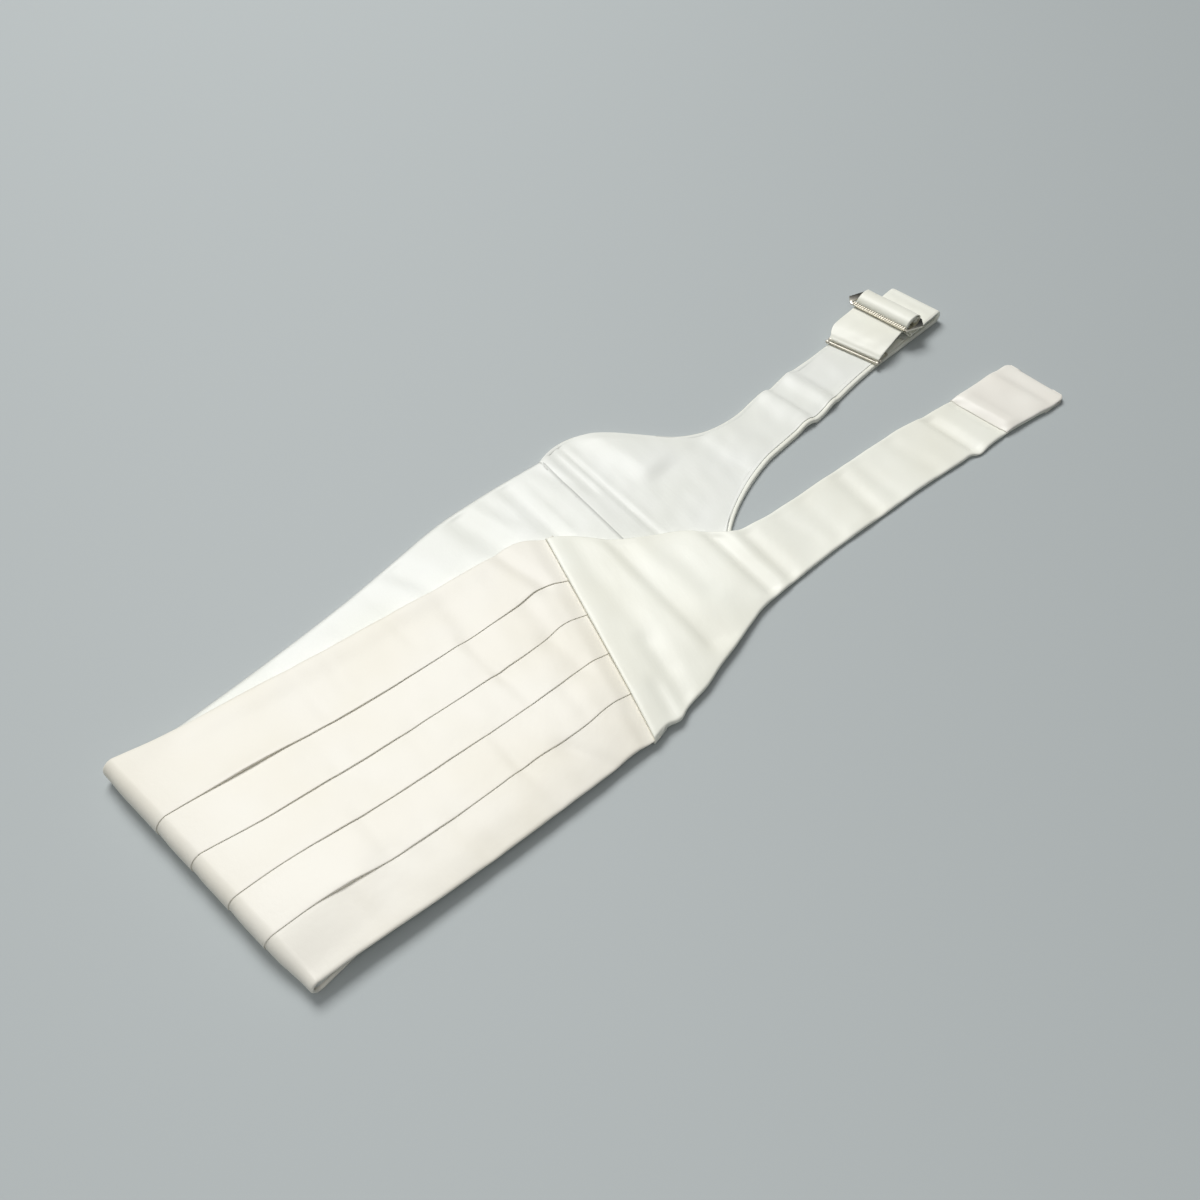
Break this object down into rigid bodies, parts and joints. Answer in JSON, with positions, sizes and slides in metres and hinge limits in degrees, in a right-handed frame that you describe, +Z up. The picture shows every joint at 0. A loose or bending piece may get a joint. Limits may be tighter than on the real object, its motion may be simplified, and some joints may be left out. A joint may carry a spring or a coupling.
{
  "type": "cummerbund",
  "caption": "Ivory satin cummerbund folded in half and laid flat, pleated front, narrow straps, metal slide and wire hook.",
  "frame": {"origin": "on the surface that the garment lies on, under the middle of its box", "axes": "+X from the fold towards the strap ends, +Y across towards the adjuster strap's side, +Z up"},
  "size_m": [0.4762, 0.1574, 0.0142],
  "materials": {
    "pleat_satin": "duchess satin, warm ivory, soft sheen",
    "wing_satin": "duchess satin, off-white, soft sheen",
    "lining_satin": "lining satin, cool white, brighter sheen",
    "plated_steel": "nickel-plated pressed steel and wire, polished"
  },
  "bodies": {
    "root": {"pleat_1": "pleat_satin", "pleat_2": "pleat_satin", "pleat_3": "pleat_satin", "pleat_4": "pleat_satin", "pleat_5": "pleat_satin", "front_lining": "lining_satin", "tab_wing": "wing_satin", "tab_wing_lining": "lining_satin", "strap_tab": "wing_satin", "adjuster_wing": "wing_satin", "adjuster_wing_lining": "lining_satin", "hook_loop": "wing_satin", "strap_roll": "wing_satin", "slide_frame": "plated_steel", "slide_grip": "plated_steel", "hook_ring": "plated_steel"}
  },
  "joints": []
}
